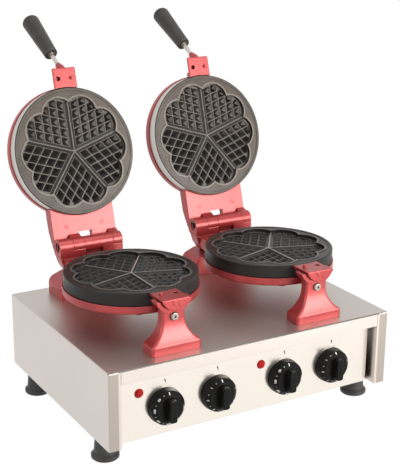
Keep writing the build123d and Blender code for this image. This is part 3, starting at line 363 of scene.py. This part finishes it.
# Small parts
def bare_metal(name, tone, rough, grain=700.0):
    """Turned or plated metal with faint clouds."""
    finish = Finish(name, Metallic=1.0)
    turned = finish.noise(finish.place(), grain, 2.0, 0.6)
    cloud = finish.noise(finish.place(), 45.0, 4.0, 0.6)
    finish.paint(Base_Color=finish.mix(cloud.between(0.3, 0.75), shade(tone, 0.8), tone))
    finish.paint(Roughness=rough + turned * 0.08 + cloud * 0.08)
    finish.bumped(turned, 0.08, 0.0001, 0.0003)
    return finish.material


def moulded(name, dark, light, rough, grain, relief, shine):
    """A moulded plastic with a faint grain and finger marks."""
    finish = Finish(name, Specular_IOR_Level=shine)
    pores = finish.noise(finish.place(), grain, 3.0, 0.6)
    touch = finish.noise(finish.place(), 38.0, 4.0, 0.6).between(0.45, 0.75)
    finish.paint(Base_Color=finish.mix(touch * 0.7 + pores * 0.3, dark, light))
    finish.paint(Roughness=rough + touch * 0.12 + pores * 0.06)
    finish.bumped(pores, relief, 0.0002, 0.0006)
    return finish.material


def lamp_red():
    """Red plastic with ribs inside and a cloudy depth."""
    finish = Finish("lamp_red", IOR=1.5, Specular_IOR_Level=0.1)
    settings = {"bands_direction": "X"}
    ribs = finish.add("ShaderNodeTexWave", settings, {"Scale": 330.0, "Distortion": 0.4}, 1)
    cloud = finish.noise(finish.place(), 260.0, 3.0, 0.5)
    finish.paint(Base_Color=finish.mix(cloud, (0.26, 0.006, 0.007), (0.40, 0.014, 0.015)))
    finish.paint(Roughness=0.12 + cloud * 0.12)
    finish.bumped(ribs, 0.3, 0.0003)
    return finish.material


def printed(name, tone, rough):
    """Ink, thinner in spots."""
    finish = Finish(name)
    thin = finish.noise(finish.place(), 1500.0, 3.0, 0.6)
    finish.paint(Base_Color=finish.mix(thin.between(0.55, 0.8) * 0.4, tone, shade(tone, 0.7)))
    finish.paint(Roughness=rough + thin * 0.15)
    finish.bumped(thin, 0.1, 0.00005)
    return finish.material


deck_tone = (0.64, 0.585, 0.545)
panel_tone = (0.80, 0.735, 0.665)
dial_tones = (0.004, 0.004, 0.004), (0.008, 0.0075, 0.007)
grip_tones = (0.022, 0.019, 0.017), (0.045, 0.040, 0.037)
foot_tones = (0.02, 0.02, 0.02), (0.05, 0.048, 0.046)
switch_tones = (0.5, 0.48, 0.43), (0.62, 0.6, 0.54)
gland_tones = (0.02, 0.02, 0.02), (0.04, 0.04, 0.04)
flange_start = housing_high.x - flange_width
finishes = {
    "deck_steel": brushed_steel("deck_steel", deck_tone, 0.31, 0.10, 0.0004, flange_start),
    "panel_steel": brushed_steel("panel_steel", panel_tone, 0.21, 0.1, 0.0003),
    "red_coat": red_coat(),
    "zinc": bare_metal("zinc", (0.32, 0.28, 0.26), 0.36),
    "rod_steel": bare_metal("rod_steel", (0.62, 0.58, 0.53), 0.22, 1500.0),
    "element": bare_metal("element", (0.22, 0.20, 0.18), 0.5, 300.0),
    "dial_black": moulded("dial_black", *dial_tones, 0.36, 800.0, 0.05, 0.1),
    "grip_black": moulded("grip_black", *grip_tones, 0.4, 1200.0, 0.12, 0.4),
    "foot_grey": moulded("foot_grey", *foot_tones, 0.42, 900.0, 0.15, 0.4),
    "inner_plastic": moulded("inner_plastic", *switch_tones, 0.4, 700.0, 0.1, 0.5),
    "gland_black": moulded("gland_black", *gland_tones, 0.4, 900.0, 0.12, 0.4),
    "lamp_red": lamp_red(),
    "dial_white": printed("dial_white", (0.85, 0.84, 0.81), 0.4),
    "panel_black": printed("panel_black", (0.03, 0.028, 0.026), 0.45),
}


def dress(name, finish):
    """Gives a node of the frame its finish."""
    slots = nodes[name].data.materials
    if not slots:
        slots.append(finish)
    for k in range(len(slots)):
        slots[k] = finish


# A node's finish comes from its whole name, or else from the first word here that is in it
whole_names = {
    "housing": "deck_steel", "rear_panel": "deck_steel", "bottom_plate": "deck_steel",
    "control_panel": "panel_steel", "terminal_block": "inner_plastic",
    "cable_gland": "gland_black", "gland_nut": "gland_black",
}
words_in_names = {
    "screws": "zinc", "bolts": "zinc", "nuts": "zinc",
    "pedestal": "red_coat", "casting": "red_coat", "heater": "element", "hinge_pin": "rod_steel",
    "handle_rod": "rod_steel", "ferrule": "zinc", "grip": "grip_black", "knob": "dial_black",
    "shaft": "rod_steel", "lamp_lens": "lamp_red", "lamp_body": "inner_plastic",
    "thermostat": "inner_plastic", "timer": "inner_plastic", "foot_": "foot_grey",
}
for name in nodes:
    key = whole_names.get(name)
    if key is None:
        key = next((finish for part, finish in words_in_names.items() if part in name), None)
    if key:
        dress(name, finishes[key])

# The lower plates face up. The upper ones face them when the lids are shut, and are turned back
# with the open lids here.
for side in sides:
    hinge = joints["lid_hinge_" + side]
    pivot = Vector(hinge["pos_m"])
    low, high = (Vector(corner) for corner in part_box("lower_plate_" + side))
    middle = Vector(((low.x + high.x) / 2, (low.y + high.y) / 2, high.z))
    reach = (high.x - low.x) / 2
    coat = plate_coat("plate_coat_" + side, middle, Vector((0, 0, 1)), lower_tones, reach)
    dress("lower_plate_" + side, coat)
    opened = Matrix.Rotation(-math.radians(hinge["range_deg"][1]), 3, "X")
    lid_middle = pivot + opened @ (middle - pivot)
    lid_facing = opened @ Vector((0, 0, -1))
    coat = plate_coat("lid_plate_coat_" + side, lid_middle, lid_facing, lid_tones, reach)
    dress("upper_plate_" + side, coat)


def new_object(name, data):
    piece = bpy.data.objects.new(name, data)
    bpy.context.scene.collection.objects.link(piece)
    return piece


# Printed marks
ink_depth = 0.00008
number_height = 0.0052
dot_radius = 0.0006
mark_clearance = 0.00012
tick_clearance = 0.0001
tick_above_axis = 0.0435
dial_zero = [(-0.0007, -0.0026), (0.0007, -0.0026), (0.0007, 0.0026), (-0.0007, 0.0026)]
panel_tick = [(0.0006, -0.0034), (0.0016, -0.0034), (0.0008, 0.0034), (-0.0021, 0.0034)]

# A knob's marks stand on its bevel: the bevel's slope, and how far its middle lies from the axis
# and from the knob's back
dial_bevel = math.atan2(6, 7)
dial_ring = 0.0268
dial_ring_depth = 0.0139

# Degrees from one number to the next, and what the numbers count by
dial_scales = {"thermostat": (44.0, 50), "timer": (48.0, 1)}
numbers_on_dial = 6
dot_to_number = 22.0

facing_front = Matrix(((1, 0, 0), (0, 0, -1), (0, 1, 0))).to_4x4()


def number(name, text, matrix, body):
    """A printed number that lies on a knob, its face along the matrix's Z."""
    curve = bpy.data.curves.new(name, "FONT")
    curve.body = text
    curve.size = number_height
    curve.extrude = ink_depth
    curve.align_x = "CENTER"
    curve.align_y = "CENTER"
    curve.resolution_u = 3
    curve.materials.append(finishes["dial_white"])
    piece = new_object(name, curve)
    piece.matrix_world = matrix
    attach(piece, body)


def patch(name, outline, finish, body, matrix):
    """A flat printed patch, a closed outline in the matrix's XY plane."""
    mesh = bpy.data.meshes.new(name)
    mesh.from_pydata([(x, y, 0) for x, y in outline], [], [tuple(range(len(outline)))])
    mesh.materials.append(finishes[finish])
    piece = new_object(name, mesh)
    piece.matrix_world = matrix
    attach(piece, body)


def disc(radius, corners=14):
    turns = [2 * math.pi * k / corners for k in range(corners)]
    return [(radius * math.cos(turn), radius * math.sin(turn)) for turn in turns]


def on_dial(knob_name, turn):
    """A place on a knob's bevel. turn goes clockwise from the top as seen from the front."""
    low, high = (Vector(corner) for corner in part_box(knob_name))
    centre = Vector(((low.x + high.x) / 2, high.y, (low.z + high.z) / 2))
    out = Matrix.Translation((0, dial_ring, dial_ring_depth + mark_clearance))
    local = Matrix.Rotation(-turn, 4, "Z") @ out @ Matrix.Rotation(-dial_bevel, 4, "X")
    return Matrix.Translation(centre) @ facing_front @ local


for kind, (degrees_apart, count_by) in dial_scales.items():
    for side in sides:
        knob = f"{kind}_knob_{side}"
        body = f"{kind}_dial_{side}"
        patch(f"{knob}_zero", dial_zero, "dial_white", body, on_dial(knob, 0.0))
        for k in range(1, numbers_on_dial + 1):
            degrees = k * degrees_apart
            text = str(k * count_by)
            number(f"{knob}_{text}", text, on_dial(knob, -math.radians(degrees)), body)
            before = on_dial(knob, -math.radians(degrees - dot_to_number))
            patch(f"{knob}_dot_{text}", disc(dot_radius), "dial_white", body, before)
        low, high = (Vector(corner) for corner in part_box(knob))
        axis_height = (low.z + high.z) / 2
        spot = Vector((
            (low.x + high.x) / 2, panel_front - tick_clearance, axis_height + tick_above_axis))
        above = Matrix.Translation(spot) @ facing_front
        patch(f"{knob}_tick", panel_tick, "panel_black", "base", above)


# Camera, lamps, floor
photo_height_px = 471
focal_length_px = 1143.93
film_width = 36.0
eye_place = (-0.97125, housing_low.y - 1.46163, housing_low.z + 0.87582)
eye_heading = math.radians(-30.4268)
eye_tilt = math.radians(72.3160)
eye_roll = math.radians(0.5412)


def camera():
    lens = bpy.data.cameras.new("camera")
    lens.sensor_width = film_width
    lens.lens = film_width * focal_length_px / photo_height_px
    eye = new_object("camera", lens)
    tilted = Matrix.Rotation(eye_heading, 4, "Z") @ Matrix.Rotation(eye_tilt, 4, "X")
    turned = tilted @ Matrix.Rotation(eye_roll, 4, "Z")
    eye.matrix_world = Matrix.Translation(eye_place) @ turned
    bpy.context.scene.camera = eye


def soft_lamp(name, place, target, size, power, tint=(1.0, 1.0, 1.0)):
    light = bpy.data.lights.new(name, "AREA")
    light.shape = "RECTANGLE"
    light.size, light.size_y = size
    light.energy = power
    light.color = tint
    lamp = new_object(name, light)
    lamp.location = Vector(place)
    lamp.rotation_mode = "QUATERNION"
    lamp.rotation_quaternion = (Vector(target) - Vector(place)).to_track_quat("-Z", "Y")


def white_room():
    """White where it is seen or mirrored, and a much weaker light on everything else."""
    world = bpy.data.worlds.new("studio")
    bpy.context.scene.world = world
    world.use_nodes = True
    room = ShaderTree(world.node_tree)
    weak = room.tree.nodes["Background"]
    room.feed(weak.inputs["Color"], (1.0, 0.985, 0.97))
    room.feed(weak.inputs["Strength"], 0.22)
    soft = Amount(room, weak.outputs[0])
    values = {"Color": (1.0, 1.0, 1.0), "Strength": 1.0}
    white = room.add("ShaderNodeBackground", None, values)
    choice = room.add("ShaderNodeMixShader", None, {0: room.seen_directly(), 1: soft, 2: white})
    room.feed(room.tree.nodes["World Output"].inputs["Surface"], choice)


def floor():
    """A pale floor that shows white and keeps a faint shadow."""
    reach = 40.0
    glow_strength = 1.03
    glow_share = 0.96
    mesh = bpy.data.meshes.new("floor")
    corners = [(-reach, -reach, 0), (reach, -reach, 0), (reach, reach, 0), (-reach, reach, 0)]
    mesh.from_pydata(corners, [], [(0, 1, 2, 3)])
    pale = (0.9, 0.9, 0.9)
    finish = Finish("floor_white", Base_Color=pale, Roughness=0.9, Specular_IOR_Level=0.1)
    matt = Amount(finish, finish.shader.outputs[0])
    glow = finish.add("ShaderNodeEmission", None, {"Strength": glow_strength})
    share = finish.seen_directly() * glow_share
    choice = finish.add("ShaderNodeMixShader", None, {0: share, 1: matt, 2: glow})
    finish.feed(finish.tree.nodes["Material Output"].inputs["Surface"], choice)
    mesh.materials.append(finish.material)
    ground = new_object("floor", mesh)


camera()
white_room()
floor()
aim = (0.0, middle_y, 0.28)
key_place = (1.05, housing_low.y - 1.85, 0.6)
fill_place = (-2.3, middle_y - 0.6, 1.1)
top_place = (0.1, middle_y - 0.4, 2.3)
soft_lamp("key", key_place, aim, size=(0.9, 1.5), power=74, tint=(1.0, 0.97, 0.93))
soft_lamp("left_fill", fill_place, aim, size=(1.2, 1.2), power=21)
soft_lamp("top", top_place, aim, size=(1.5, 1.5), power=18)
bpy.context.scene.view_settings.view_transform = "Standard"
